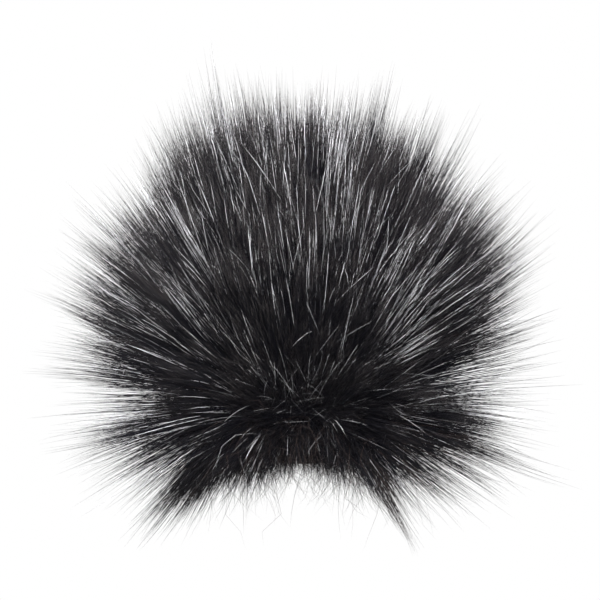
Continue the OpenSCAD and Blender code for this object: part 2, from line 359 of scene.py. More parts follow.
def make_fur(n_guard, n_under, n_locks, n_wisps, seed=SEED):
    """All hair paths in mm. Returns groups of (paths, radii, tones with their painted sheen and backlight, azimuths).
    """
    rng = np.random.default_rng(seed)
    steps = 6
    t = np.linspace(0, 1, steps + 1)
    # locks: large tufts, each with its own lean, length and shine
    lp, ln, lt, lf = surface(n_locks, rng)
    ld = comb(lt, lf, rng, 4.5, 6.5)
    base = reach(lt, lf)
    rim = np.clip(1.25 - np.abs(lp[:, 1] + ld[:, 1] * base) / 16.0, 0, 1)
    reach_to = bearing(lp[:, 0] + ld[:, 0] * base, lp[:, 2] + ld[:, 2] * base)
    base = base * (1 + (tufts(reach_to) - 1) * rim)
    l_len = base * np.clip(rng.normal(1.0, 1.0, n_locks) * lerp_table(lt, [(0, 0.065), (115, 0.065), (150, 0.12)])
                           + 1.0 - lerp_table(lt, [(0, 0.065), (115, 0.065), (150, 0.12)]), 0.74, 1.15)
    l_curl = rng.normal(0, 0.09, (n_locks, 3))
    l_droop = rng.uniform(0.02, 0.16, n_locks)
    # how strongly each lock carries painted sheen, patchy from lock to lock
    l_shine = np.clip(rng.lognormal(-0.45, 0.95, n_locks), 0.04, 4.5)
    locks = grow(lp, ln, ld, l_len, l_curl, l_droop, steps)
    sparse = np.where(rng.random(n_locks) < lerp_table(lt, [(0, 0.06), (100, 0.08), (125, 0.18), (162, 0.22)]), 0.5, 1.0)

    # wisps: the small pointed strands of hair in each lock
    wp, wn, wt, wf = surface(n_wisps, rng)
    wl = nearest(wp, lp)
    wd = unit(comb(wt, wf, rng, 4.5, 5.5) * 0.62 + ld[wl] * 0.38)
    w_len = (0.25 * reach(wt, wf) + 0.75 * l_len[wl]) * np.clip(rng.normal(1.0, 0.075, n_wisps), 0.78, 1.14)
    w_curl = l_curl[wl] * 0.6 + rng.normal(0, 0.06, (n_wisps, 3))
    wisps = grow(wp, wn, wd, w_len, w_curl, l_droop[wl], steps)
    # each wisp's own strength of painted sheen
    w_shine = np.clip(rng.lognormal(-0.8, 1.15, n_wisps), 0.03, 5.0)
    share = t[None, :] * (w_len / l_len[wl])[:, None]
    pull = (lerp_table(wt, [(0, 0.42), (70, 0.36), (110, 0.26), (162, 0.4)])[:, None] * (t ** 1.4)[None, :])[..., None]
    wisps = wisps + (at(locks, wl, share) - wisps) * pull

    groups = []
    for kind, n, st in (("guard", n_guard, 6), ("under", n_under, 4)):
        tt = np.linspace(0, 1, st + 1)
        p, nr, th, ph = surface(n, rng)
        w = nearest(p, wp)
        if kind == "guard":
            ln_ = w_len[w] * np.clip(rng.normal(0.96, 0.10, n), 0.6, 1.18)
            # guard hairs that carry painted sheen, toned 0.5 to 1, which the fibre material turns silver from
            # mid-length to tip
            painted_sheen = rng.random(n) < painted_sheen_share(th, ph) * 0.88 * l_shine[wl[w]] * w_shine[w]
            tone_and_painted_light = np.where(painted_sheen, rng.uniform(0.5, 1.0, n), rng.uniform(0.0, 0.3, n))
            rad = np.where(painted_sheen, rng.uniform(0.028, 0.046, n), rng.uniform(0.032, 0.054, n))
            k_max = rng.uniform(0.1, 0.8, n)
            jit = 0.06
        else:
            ln_ = w_len[w] * rng.uniform(0.35, 0.8, n)
            rad = rng.uniform(0.028, 0.042, n)
            tone_and_painted_light = rng.uniform(0.0, 0.15, n)
            k_max = rng.uniform(0.05, 0.4, n)
            jit = 0.15
        mess = lerp_table(th, [(0, 1.0), (80, 1.0), (120, 1.9), (162, 2.2)])
        d = unit(unit(comb(th, ph, rng, 6.0, 7.5) + rng.normal(0, 0.09, (n, 3)) * (mess - 1)[:, None]) * 0.55 + wd[w] * 0.45)
        curl = w_curl[w] * 0.7 + rng.normal(0, jit, (n, 3))
        path = grow(p, nr, d, ln_, curl, l_droop[wl[w]], st)
        share = tt[None, :] * (ln_ / w_len[w])[:, None]
        pull = (k_max[:, None] * (tt ** 1.2)[None, :])[..., None]
        path = path + (at(wisps, w, share) - path) * pull
        stay = (rng.random(n) < sparse[wl[w]]) | (tone_and_painted_light > 0.5)
        groups.append((path[stay], rad[stay], tone_and_painted_light[stay], ph[stay]))

    # loose hairs that cross the others
    n = 1900
    p, nr, th, ph = surface(n, rng)
    d = unit(comb(th, ph, rng, 17.0, 24.0))
    ln_ = reach(th, ph) * rng.uniform(0.7, 1.12, n)
    path = grow(p, nr, d, ln_, rng.normal(0, 0.16, (n, 3)), rng.uniform(0, 0.15, n), 6)
    # painted sheen on the loose hairs, weaker on those rooted toward the mouth as painted shade low down
    shine = lerp_table(th, [(0, 1.0), (95, 0.95), (118, 0.66), (148, 0.6), (162, 0.5)])
    groups.append((path, rng.uniform(0.028, 0.044, n), rng.uniform(0.25, 1.0, n) * shine, ph))

    # sheaves of hairs with painted highlights, toned silver, that lie over the others: station, azimuth, where they run
    # to, count, spread
    for th0, az0, goal, count, wide in (
            (122, -1.10, (18.6, -19.0, 18.5), 30, 1.5), (132, -1.9, (-7.6, -21.0, 19.0), 12, 2.2),
            (138, -1.75, (-6.5, -17.0, 12.0), 9, 2.2), (128, -1.3, (6.0, -21.0, 20.5), 13, 2.2),
            (140, -0.55, (19.0, -12.0, 7.2), 24, 1.3), (112, -2.3, (-17.5, -18.0, 25.0), 30, 1.6),
            (118, -1.0, (15.0, -21.0, 24.5), 26, 1.5), (135, 2.0, (-8.0, 20.0, 18.0), 26, 1.6),
            (124, 0.9, (17.0, 19.0, 19.0), 30, 1.6)):
        n = count
        p, nr, th, ph = place(th0 + rng.normal(0, 3.0, n), az0 + rng.normal(0, 0.12, n))
        aim = np.array(goal) + rng.normal(0, wide, (n, 3))
        path = grow_to(p, nr, aim, rng.uniform(0.72, 1.0, n), rng.normal(0, 0.05, (n, 3)), rng.uniform(0, 0.08, n), 6)
        groups.append((path, rng.uniform(0.026, 0.040, n), rng.uniform(0.55, 0.95, n), ph))

    # messy dark hairs over the front and rear of the mouth, in every direction
    n = 8000
    p, nr, th, ph = place(rng.uniform(128, 159, n), np.where(rng.random(n) < 0.5, -1, 1) * math.pi / 2 + rng.normal(0, 0.55, n))
    d = unit(nr * 0.55 + rng.normal(0, 1.0, (n, 3)) * np.array([1.0, 0.5, 0.85]) + np.array([0, 0, 0.15]))
    ln_ = rng.uniform(4.0, 9.5, n)
    path = grow(p, nr, d, ln_, rng.normal(0, 0.30, (n, 3)), rng.uniform(0.0, 0.2, n), 6)
    # a few of these hairs carry painted sheen
    tone_and_painted_light = np.where(rng.random(n) < 0.05, rng.uniform(0.45, 0.8, n), rng.uniform(0.0, 0.25, n))
    groups.append((path, rng.uniform(0.024, 0.040, n), tone_and_painted_light, ph))

    # hairs that leave the hem downwards, turn up and fan out over the lower face
    n = 5200
    side = np.where(rng.random(n) < 0.55, -1, 1)
    p, nr, th, ph = place(rng.uniform(146, 159, n), side * math.pi / 2 + rng.normal(0, 0.42, n))
    a = np.radians(np.clip(rng.normal(0, 30, n), -60, 60))
    out_to = rng.uniform(7.0, 17.0, n)
    goal = np.stack([p[:, 0] * 1.2 + out_to * np.sin(a), side * rng.uniform(12.5, 19.5, n),
                     2.0 + out_to * np.cos(a)], 1)
    path = grow_to(p, nr, goal, rng.uniform(0.7, 1.0, n), rng.normal(0, 0.12, (n, 3)), rng.uniform(0.0, 0.1, n), 8)
    # a few of these hairs carry painted sheen
    tone_and_painted_light = np.where(rng.random(n) < 0.035, rng.uniform(0.45, 0.8, n), rng.uniform(0.0, 0.3, n))
    groups.append((path, rng.uniform(0.026, 0.040, n), tone_and_painted_light, ph))

    # sparse long wisps that hang from the skirt's lower right, and a few lower left
    for count, az0, tips in (
            (560, -0.85, ((11.4, -6.5), (15.4, -12.0), (16.4, -11.0), (18.2, -8.8), (20.6, -6.0), (13.4, -9.4), (16, -8))),
            (170, -0.3, ((27.6, 0.4), (28.0, 0.6), (26.0, -0.4), (25.0, -2.5), (26.5, 2.4))),
            (120, math.pi + 0.35, ((-19.6, -7.8), (-18.6, -6.8), (-14.5, -6.0), (-22.5, -4.5), (-17, -7.6))),
            (80, math.pi + 0.3, ((-27.0, 3.2), (-26.0, 1.6), (-28.5, 5.6)))):
        n = count
        p, nr, th, ph = place(rng.uniform(150, 161.5, n), az0 + rng.normal(0, 0.28, n))
        goal = np.array(tips, float)[rng.integers(0, len(tips), n)] + rng.normal(0, 0.42, (n, 2))
        goal = np.stack([goal[:, 0], p[:, 1] * 1.6 + rng.normal(0, 1.5, n), goal[:, 1]], 1)
        path = grow_to(p, nr, goal, rng.uniform(0.62, 1.0, n), rng.normal(0, 0.04, (n, 3)), np.full(n, 0.1), 6)
        # hairs toned 0.32 to 0.36 get painted backlight: a brown glow from mid-length to the tip
        tone_and_painted_light = np.where(rng.random(n) < 0.35, rng.uniform(0.32, 0.36, n), rng.uniform(0.0, 0.3, n))
        groups.append((path, rng.uniform(0.034, 0.052, n), tone_and_painted_light, ph))

    # curly fringe round the mouth, thickest in front of and behind the clip seat
    n = 11000
    ph = rng.uniform(0, 2 * math.pi, n)
    close = rng.random(n) < 0.5
    ph = np.where(close, np.where(rng.random(n) < 0.5, -1, 1) * math.pi / 2 + rng.normal(0, 0.5, n), ph)
    th = rng.uniform(141.5, 162, n)
    p, nr, th, ph = place(th, ph)
    s = np.abs(np.cos(ph)) ** 0.8
    el = np.radians(-70 + 32 * s + rng.normal(0, 22, n))
    az = ph + np.radians(rng.normal(0, 48, n))
    d = np.stack([np.cos(el) * np.cos(az), np.cos(el) * np.sin(az), np.sin(el)], 1)
    stray = rng.random(n) < 0.07
    ln_ = (p[:, 2] - 0.1 + 9.0 * s) * np.where(stray, rng.uniform(0.9, 1.5, n), rng.uniform(0.50, 1.02, n))
    amp = np.where(stray, rng.uniform(0.6, 1.7, n), rng.uniform(0.15, 0.85, n))
    path = coils(p, nr, d, ln_, amp, rng.uniform(0.4, 2.2, n), 8, rng)
    # most strays, and a few others, get the brown painted backlight
    tone_and_painted_light = np.where(rng.random(n) < np.where(stray, 0.6, 0.05), rng.uniform(0.32, 0.36, n), rng.uniform(0.0, 0.3, n))
    # a few more carry painted sheen
    tone_and_painted_light = np.where(rng.random(n) < 0.03, rng.uniform(0.4, 0.65, n), tone_and_painted_light)
    groups.append((path, rng.uniform(0.022, 0.038, n), tone_and_painted_light, ph))

    out = []
    for path, rad, tone_and_painted_light, ph in groups:
        # nothing grows into the clip seat or the way out behind it, or below the lowest wisps
        fine = at(path, np.arange(len(path)), np.broadcast_to(np.linspace(0, 1, 41), (len(path), 41)))
        r = np.hypot(fine[..., 0], fine[..., 1])
        bad = ((r < SEAT_R + 0.45) & (fine[..., 2] < HEM_Z)).any(1)
        # nor through the neck to the microphone, nor back into the pouch
        bad |= ((r < SEAT_R + 0.1) & (fine[..., 2] < CORE_Z)).any(1)
        bad |= (np.sqrt(r ** 2 + (fine[..., 2] - CORE_Z) ** 2)[:, 4:] < POUCH_R - 0.4).any(1)
        keep = ~bad & (path[..., 2].min(1) > -13.0)
        tip = path[:, -1]
        share, beyond = thickness(bearing(tip[:, 0], tip[:, 2]))
        far = np.hypot(tip[:, 0], tip[:, 2] - MIDDLE_Z) > beyond
        thin = rng.random(len(tip)) > share
        keep &= ~(far & thin & (tone_and_painted_light < 0.5))
        out.append((path[keep], rad[keep], tone_and_painted_light[keep], np.mod(ph[keep], 2 * math.pi)))
    return out


def tubes(path, rad):
    """Closed three-sided tapered tubes: vertices, corner list, face sizes, and V along the hair for each corner."""
    n, k = path.shape[:2]
    seg = k - 1
    tan = np.empty_like(path)
    tan[:, 1:-1] = path[:, 2:] - path[:, :-2]
    tan[:, 0] = path[:, 1] - path[:, 0]
    tan[:, -1] = path[:, -1] - path[:, -2]
    tan = unit(tan)
    ref = unit(np.cross(tan[:, k // 2], np.array([0.31, 0.87, 0.38])))[:, None, :]
    a = unit(np.cross(tan, ref))
    b = np.cross(tan, a)
    t = np.linspace(0, 1, k)
    taper = np.interp(t, [0, 0.3, 0.6, 0.8, 0.92, 1.0], [0.8, 1.0, 0.82, 0.52, 0.26, 0.0])
    ang = np.array([0, 2, 4]) * math.pi / 3
    ring = (a[:, :seg, None, :] * np.cos(ang)[None, None, :, None]
            + b[:, :seg, None, :] * np.sin(ang)[None, None, :, None])
    ring = path[:, :seg, None, :] + ring * (rad[:, None] * taper[None, :seg])[..., None, None]
    verts = np.concatenate([ring.reshape(n, seg * 3, 3), path[:, -1:, :]], 1)
    nv = seg * 3 + 1
    v_along = np.concatenate([np.repeat(t[:seg], 3), [1.0]])
    quads = [[s * 3 + j, s * 3 + (j + 1) % 3, s * 3 + 3 + (j + 1) % 3, s * 3 + 3 + j]
             for s in range(seg - 1) for j in range(3)]
    s = (seg - 1) * 3
    tris = [[0, 2, 1]] + [[s + j, s + (j + 1) % 3, nv - 1] for j in range(3)]
    corners = np.array([i for f in quads for i in f] + [i for f in tris for i in f])
    sizes = np.array([4] * len(quads) + [3] * len(tris))
    loops = (corners[None, :] + (np.arange(n) * nv)[:, None]).ravel()
    return verts.reshape(-1, 3), loops, np.tile(sizes, n), np.tile(v_along[corners], n), len(corners)


def strands_mesh(name, groups):
    """One mesh of all the hairs, with a UV map: U is a hair's tone and painted light, V runs from root to tip."""
    vs, ls, zs, us, ws, base = [], [], [], [], [], 0
    for path, rad, tone_and_painted_light in groups:
        if not len(path):
            continue
        v, l, z, w, c = tubes(path, rad)
        vs.append(v)
        ls.append(l + base)
        zs.append(z)
        ws.append(w)
        us.append(np.repeat(tone_and_painted_light, c))
        base += len(v)
    verts, loops, sizes = np.concatenate(vs), np.concatenate(ls), np.concatenate(zs)
    starts = np.concatenate([[0], np.cumsum(sizes)[:-1]])
    me = bpy.data.meshes.new(name)
    me.vertices.add(len(verts))
    me.vertices.foreach_set("co", (verts * MM).astype(np.float32).ravel())
    me.loops.add(len(loops))
    me.loops.foreach_set("vertex_index", loops.astype(np.int32))
    me.polygons.add(len(sizes))
    me.polygons.foreach_set("loop_start", starts.astype(np.int32))
    me.polygons.foreach_set("loop_total", sizes.astype(np.int32))
    me.polygons.foreach_set("use_smooth", np.ones(len(sizes), bool))
    me.update(calc_edges=True)
    uv = me.uv_layers.new(name="OFBake")
    u = np.clip(np.concatenate(us), 0.004, 0.996)
    v = np.concatenate(ws) * 0.99 + 0.005
    uv.data.foreach_set("uv", np.stack([u, v], 1).astype(np.float32).ravel())
    ob = bpy.data.objects.new(name, me)
    scene.collection.objects.link(ob)
    return ob


def fur_material():
    """Black synthetic fibre: U of the map is a hair's tone and how much painted sheen it carries, with a brown painted
    backlight for the band 0.31 to 0.37; V runs from root to tip.
    """
    m = Mat("fur_fibre")
    uv = m.node("UVMap", uv_map="OFBake")
    sep = m.node("SeparateXYZ")
    m.link(uv.outputs[0], sep.inputs[0])
    u, v = sep.outputs[0], sep.outputs[1]
    # bluish black body; its lighter, warmer last stretch at the tip is painted backlight through the thin ends
    body = m.ramp(v, [(0.0, (0.0098, 0.0100, 0.0140)), (0.5, (0.0090, 0.0092, 0.0128)),
                      (0.84, (0.0082, 0.0078, 0.0092)), (1.0, (0.028, 0.024, 0.023))])
    # painted highlight along the hair: it rises past mid-length and fades at the very tip
    painted_sheen = m.ramp(v, [(0.0, (0.0, 0.0, 0.0)), (0.34, (0.02, 0.02, 0.02)), (0.52, (0.75, 0.75, 0.75)),
                        (0.86, (1.0, 1.0, 1.0)), (1.0, (0.35, 0.35, 0.35))])
    amount = m.smooth(u, 0.30, 1.0)
    fac = m.math("MULTIPLY", amount, painted_sheen, clamp=True)
    # painted backlight: hairs toned 0.31 to 0.37 turn brown from mid-length out
    painted_backlight = m.math("MULTIPLY", m.smooth(u, 0.305, 0.315), m.math("SUBTRACT", 1.0, m.smooth(u, 0.365, 0.375)))
    body = m.mix(m.math("MULTIPLY", painted_backlight, m.smooth(v, 0.1, 0.6)), body, (0.034, 0.023, 0.020))
    # the painted sheen itself: near-white silver albedo in place of the black fibre's gloss
    col = m.mix(fac, body, (0.90, 0.90, 0.94))
    m.link(col, m.b.inputs["Base Color"])
    m.set(Roughness=0.30, IOR=1.5, Specular_IOR_Level=0.06)
    return m.m


def build_fur():
    groups = make_fur(n_guard=56000, n_under=25000, n_locks=520, n_wisps=4200)
    mat = fur_material()
    made = {"front": [], "rear": []}
    for side, lo in (("rear", 0.0), ("front", math.pi)):
        here = [(g[0][m], g[1][m], g[2][m], g[3][m]) for g in groups for m in [(g[3] >= lo) & (g[3] < lo + math.pi)]]
        cut = np.quantile(np.concatenate([g[3] for g in here]), np.linspace(0, 1, 13))
        cut[0], cut[-1] = lo - 1, lo + 4
        for i in range(12):
            part = [(g[0][m], g[1][m], g[2][m]) for g in here for m in [(g[3] >= cut[i]) & (g[3] < cut[i + 1])]]
            ob = strands_mesh(f"fur_{side}_{i + 1}", part)
            ob.data.materials.append(mat)
            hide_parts(f"{side}_pile")
            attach(ob, "wind_muff")
            made[side].append(ob)
    return made


fur = build_fur()


# ------------------------------------------------------------------ mesh helpers
def grid_faces(nu, nv, wrap_u=False, wrap_v=False, base=0, flip=False):
    """Quads over a grid of nu x nv points, numbered u * nv + v."""
    a, b = np.meshgrid(np.arange(nu if wrap_u else nu - 1), np.arange(nv if wrap_v else nv - 1), indexing="ij")
    a2, b2 = (a + 1) % nu, (b + 1) % nv
    q = np.stack([a * nv + b, a2 * nv + b, a2 * nv + b2, a * nv + b2], -1).reshape(-1, 4) + base
    return [tuple(int(i) for i in f) for f in (q[:, ::-1] if flip else q)]


def build(name, verts, faces, mat, body, replaces=()):
    """A smooth-shaded piece from points in mm, outward normals, its finish and its body."""
    me = bpy.data.meshes.new(name)
    me.from_pydata((np.asarray(verts) * MM).tolist(), [], faces)
    bm = bmesh.new()
    bm.from_mesh(me)
    bmesh.ops.recalc_face_normals(bm, faces=bm.faces)
    bm.to_mesh(me)
    bm.free()
    me.polygons.foreach_set("use_smooth", np.ones(len(me.polygons), bool))
    me.update()
    ob = bpy.data.objects.new(name, me)
    ob.data.materials.append(mat)
    scene.collection.objects.link(ob)
    if replaces:
        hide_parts(*replaces)
    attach(ob, body)
    return ob


def wire(path, rad, sides=6, up=(0, 0, 1), closed=False, base=0):
    """A round wire along one path, with closed ends unless it is a loop."""
    k = len(path)
    tan = unit(np.roll(path, -1, 0) - np.roll(path, 1, 0)) if closed else unit(np.gradient(path, axis=0))
    a = unit(np.cross(tan, np.broadcast_to(np.asarray(up, float), tan.shape)))
    b = np.cross(a, tan)
    ang = 2 * math.pi * np.arange(sides) / sides
    r = np.broadcast_to(np.asarray(rad, float), (k,))[:, None, None]
    v = path[:, None, :] + r * (a[:, None, :] * np.cos(ang)[None, :, None] + b[:, None, :] * np.sin(ang)[None, :, None])
    v = v.reshape(-1, 3)
    f = grid_faces(k, sides, wrap_u=closed, wrap_v=True, base=base)
    if not closed:
        v = np.concatenate([v, path[:1], path[-1:]])
        s, e_ = base + k * sides, base + k * sides + 1
        last = base + (k - 1) * sides
        f += [(s, base + (j + 1) % sides, base + j) for j in range(sides)]
        f += [(e_, last + j, last + (j + 1) % sides) for j in range(sides)]
    return v, f


def turned(profile, n, warp=None):
    """A closed body turned round Z from a profile of (r, z) points that starts and ends on the axis, or is a loop."""
    prof = np.asarray(profile, float)
    on_axis = prof[0, 0] < 1e-6
    body = prof[1:-1] if on_axis else prof
    ang = 2 * math.pi * np.arange(n) / n
    v = np.stack([body[None, :, 0] * np.cos(ang)[:, None], body[None, :, 0] * np.sin(ang)[:, None],
                  np.broadcast_to(body[None, :, 1], (n, len(body)))], -1)
    if warp is not None:
        v = warp(v, ang)
    k = len(body)
    v = v.reshape(-1, 3)
    f = grid_faces(n, k, wrap_u=True, wrap_v=not on_axis)
    if on_axis:
        v = np.concatenate([v, [[0, 0, prof[0, 1]], [0, 0, prof[-1, 1]]]])
        s, t_ = n * k, n * k + 1
        for i in range(n):
            j = (i + 1) % n
            f.append((s, i * k, j * k))
            f.append((t_, j * k + k - 1, i * k + k - 1))
    return v, f


def dense(profile, step):
    """The profile with points added so that none are further apart than step."""
    out = [profile[0]]
    for a, b in zip(profile[:-1], profile[1:]):
        m = max(1, int(math.ceil(math.dist(a, b) / step)))
        out += [(a[0] + (b[0] - a[0]) * i / m, a[1] + (b[1] - a[1]) * i / m) for i in range(1, m + 1)]
    return out


# ------------------------------------------------------------------ finishes
def radial(m, scale):
    """A vector that runs along a turned body's profile: (r, 0, z), so that marks run round the axis."""
    tc = m.node("TexCoord")
    sep = m.node("SeparateXYZ")
    m.link(tc.outputs["Object"], sep.inputs[0])
    x, y, z = sep.outputs
    r = m.math("SQRT", m.math("ADD", m.math("MULTIPLY", x, x), m.math("MULTIPLY", y, y)))
    com = m.node("CombineXYZ")
    m.link(r, com.inputs[0])
    m.link(z, com.inputs[2])
    mp = m.node("Mapping")
    m.link(com.outputs[0], mp.inputs[0])
    mp.inputs["Scale"].default_value = (scale, scale, scale)
    return mp.outputs[0], r, x, y, z


def near_edge(m, r, z, r0, z0, width):
    """1 on a turned edge at (r0, z0) mm, falling to 0 over width mm."""
    a = m.math("SUBTRACT", r, r0 * MM)
    b = m.math("SUBTRACT", z, z0 * MM)
    d = m.math("SQRT", m.math("ADD", m.math("MULTIPLY", a, a), m.math("MULTIPLY", b, b)))
    return m.math("SUBTRACT", 1.0, m.smooth(d, 0.0, width * MM))


def coated_metal(name, edges):
    """Black coated metal: fine turning marks under the coat, a grain in it, and brassy wear on the edges."""
    m = Mat(name)
    vec, r, x, y, z = radial(m, 1.0)
    marks = m.noise(vec, 16000, 3, 0.6)
    obj = m.coords()
    grain = m.noise(obj, 7000, 4, 0.6)
    blot = m.noise(obj, 420, 3, 0.5)
    base = m.mix(m.smooth(blot, 0.35, 0.7), (0.017, 0.017, 0.019), (0.028, 0.028, 0.030))
    base = m.mix(m.math("MULTIPLY", m.smooth(grain, 0.55, 0.8), 0.5), base, (0.05, 0.05, 0.053))
    wear = None
    for r0, z0 in edges:
        w = near_edge(m, r, z, r0, z0, 0.13)
        wear = w if wear is None else m.math("MAXIMUM", wear, w)
    if wear is not None:
        wear = m.math("MULTIPLY", wear, m.smooth(m.noise(obj, 1500, 4, 0.65), 0.50, 0.62), clamp=True)
        base = m.mix(wear, base, (0.42, 0.34, 0.20))
    m.link(base, m.b.inputs["Base Color"])
    m.link(m.ramp(m.math("ADD", m.math("MULTIPLY", blot, 0.5), m.math("MULTIPLY", marks, 0.5)),
                  [(0.3, (0.30,) * 3), (0.7, (0.46,) * 3)]), m.b.inputs["Roughness"])
    m.set(Metallic=0.55, Specular_IOR_Level=0.5)
    m.bump(m.math("ADD", m.math("MULTIPLY", marks, 0.7), grain), 0.35, 0.000012)
    return m.m


def bare_metal(name, colour, dark, rough=(0.18, 0.38), mark=12000, depth=0.000006):
    m = Mat(name)
    vec, *_ = radial(m, 1.0)
    marks = m.noise(vec, mark, 3, 0.6)
    obj = m.coords()
    stain = m.noise(obj, 900, 4, 0.6)
    m.link(m.mix(m.smooth(stain, 0.35, 0.75), colour, dark), m.b.inputs["Base Color"])
    m.link(m.ramp(m.math("ADD", m.math("MULTIPLY", marks, 0.6), m.math("MULTIPLY", stain, 0.4)),
                  [(0.3, (rough[0],) * 3), (0.7, (rough[1],) * 3)]), m.b.inputs["Roughness"])
    m.set(Metallic=1.0)
    m.bump(marks, 0.3, depth)
    return m.m


def moulded(name, lo, hi, rough, grain=6000, depth=0.00001):
    """Moulded rubber or plastic: flow shades, a fine grain and dull spots."""
    m = Mat(name)
    obj = m.coords()
    flow = m.noise(m.coords((1, 1, 0.35)), 600, 3, 0.5)
    fine = m.noise(obj, grain, 4, 0.6)
    m.link(m.mix(m.smooth(flow, 0.3, 0.7), lo, hi), m.b.inputs["Base Color"])
    m.link(m.ramp(fine, [(0.3, (rough[0],) * 3), (0.7, (rough[1],) * 3)]), m.b.inputs["Roughness"])
    m.bump(fine, 0.4, depth)
    return m.m


def circuit_board():
    """Green resist over glass cloth, with a copper ring under it."""
    m = Mat("board_resist")
    vec, r, x, y, z = radial(m, 1.0)
    wx = m.math("SINE", m.math("MULTIPLY", x, 2 * math.pi / 0.00028))
    wy = m.math("SINE", m.math("MULTIPLY", y, 2 * math.pi / 0.00028))
    weave = m.math("ADD", m.math("MULTIPLY", m.math("MULTIPLY", wx, wy), 0.5), 0.5)
    base = m.mix(m.math("MULTIPLY", weave, 0.5), (0.010, 0.105, 0.038), (0.022, 0.165, 0.065))
    ring = m.math("MULTIPLY", m.smooth(r, 0.00150, 0.00156), m.math("SUBTRACT", 1.0, m.smooth(r, 0.00225, 0.00231)))
    base = m.mix(m.math("MULTIPLY", ring, 0.8), base, (0.075, 0.235, 0.075))
    dust = m.noise(m.coords(), 2500, 4, 0.6)
    base = m.mix(m.math("MULTIPLY", m.smooth(dust, 0.5, 0.8), 0.25), base, (0.10, 0.20, 0.12))
    m.link(base, m.b.inputs["Base Color"])
    m.link(m.ramp(dust, [(0.3, (0.25,) * 3), (0.7, (0.42,) * 3)]), m.b.inputs["Roughness"])
    m.set(Coat_Weight=0.3, Coat_Roughness=0.15)
    m.bump(m.math("ADD", m.math("MULTIPLY", weave, 0.4), ring), 0.3, 0.00001)
    return m.m


def two_part(name, part_a, part_b, where):
    """A packaged component: its body's finish, and tinned metal where where(...) is 1."""
    m = Mat(name)
    vec, r, x, y, z = radial(m, 1.0)
    mask = where(m, x, y, z)
    obj = m.coords()
    n = m.noise(obj, 5000, 4, 0.6)
    (a_lo, a_hi), (b_lo, b_hi) = part_a, part_b
    m.link(m.mix(mask, m.mix(n, a_lo, a_hi), m.mix(n, b_lo, b_hi)), m.b.inputs["Base Color"])
    m.link(m.mix(mask, (0.62, 0.62, 0.62), (0.3, 0.3, 0.3)), m.b.inputs["Roughness"])
    m.link(mask, m.b.inputs["Metallic"])
    m.bump(n, 0.35, 0.000008)
    return m.m


def cloth(name, lo, hi, pitch=0.00055, depth=0.00003):
    """Knitted backing: rows of small loops."""
    m = Mat(name)
    vec, r, x, y, z = radial(m, 1.0)
    around = m.math("ARCTAN2", y, x)
    wale = m.math("SINE", m.math("MULTIPLY", around, 72.0))
    row = m.math("SINE", m.math("ADD", m.math("MULTIPLY", z, 2 * math.pi / pitch),
                                m.math("MULTIPLY", m.math("ABSOLUTE", wale), 1.8)))
    knit = m.math("ADD", m.math("MULTIPLY", m.math("MULTIPLY", row, wale), 0.5), 0.5)
    fuzz = m.noise(m.coords(), 9000, 4, 0.7)
    h = m.math("ADD", m.math("MULTIPLY", knit, 0.6), m.math("MULTIPLY", fuzz, 0.4))
    m.link(m.mix(m.smooth(h, 0.25, 0.8), lo, hi), m.b.inputs["Base Color"])
    m.link(m.ramp(fuzz, [(0.3, (0.78,) * 3), (0.7, (0.95,) * 3)]), m.b.inputs["Roughness"])
    m.set(Sheen_Weight=0.08, Sheen_Roughness=0.45)
    m.bump(h, 0.6, depth)
    return m.m


def fibrous(name, lo, hi, scale=5000, sheen=0.3, depth=0.00003, pores=False):
    m = Mat(name)
    obj = m.coords()
    n = m.noise(obj, scale, 5, 0.7)
    big = m.noise(obj, scale / 9, 3, 0.5)
    h = n
    if pores:
        # the pores are darker in the colour as well as sunk in the bump: painted shade in the pore hollows
        v = m.node("TexVoronoi", feature="F1")
        m.link(obj, v.inputs["Vector"])
        v.inputs["Scale"].default_value = 2600
        h = m.math("ADD", m.math("MULTIPLY", m.smooth(v.outputs["Distance"], 0.15, 0.65), 0.7), m.math("MULTIPLY", n, 0.3))
    m.link(m.mix(m.smooth(m.math("ADD", m.math("MULTIPLY", h, 0.75), m.math("MULTIPLY", big, 0.25)), 0.25, 0.75), lo, hi),
           m.b.inputs["Base Color"])
    m.link(m.ramp(n, [(0.3, (0.82,) * 3), (0.7, (0.98,) * 3)]), m.b.inputs["Roughness"])
    m.set(Sheen_Weight=sheen, Sheen_Roughness=0.5)
    m.bump(h, 0.7, depth)
    return m.m


def film_finish(name, colour, dark, metallic, rough):
    """Thin film, drawn tight, with faint ripples."""
    m = Mat(name)
    vec, r, x, y, z = radial(m, 1.0)
    ripple = m.noise(m.coords((1, 0.3, 1)), 900, 3, 0.5)
    speck = m.noise(m.coords(), 9000, 3, 0.6)
    m.link(m.mix(m.smooth(ripple, 0.3, 0.7), colour, dark), m.b.inputs["Base Color"])
    m.link(m.ramp(speck, [(0.3, (rough[0],) * 3), (0.75, (rough[1],) * 3)]), m.b.inputs["Roughness"])
    m.set(Metallic=metallic)
    m.bump(ripple, 0.25, 0.00001)
    return m.m


def twisted(name, lo, hi, count, sheen=0.25):
    """Spun thread or braid: light and dark plies from a noise, with loose fibre."""
    m = Mat(name)
    obj = m.coords()
    ply = m.noise(m.coords((1, 1, 1.6)), count, 3, 0.6)
    fuzz = m.noise(obj, count * 3.2, 4, 0.7)
    m.link(m.mix(m.smooth(ply, 0.35, 0.68), lo, hi), m.b.inputs["Base Color"])
    m.link(m.ramp(fuzz, [(0.3, (0.5,) * 3), (0.7, (0.72,) * 3)]), m.b.inputs["Roughness"])
    m.set(Sheen_Weight=sheen, Sheen_Roughness=0.4)
    m.bump(m.math("ADD", ply, m.math("MULTIPLY", fuzz, 0.5)), 0.5, 0.000012)
    return m.m


_cap_lo, _cap_hi = mm_box("grille_cap")
_brd_lo, _brd_hi = mm_box("capsule_board")
BOARD_TOP = _brd_hi[2] * MM
TIN = ((0.62, 0.63, 0.64), (0.78, 0.78, 0.79))

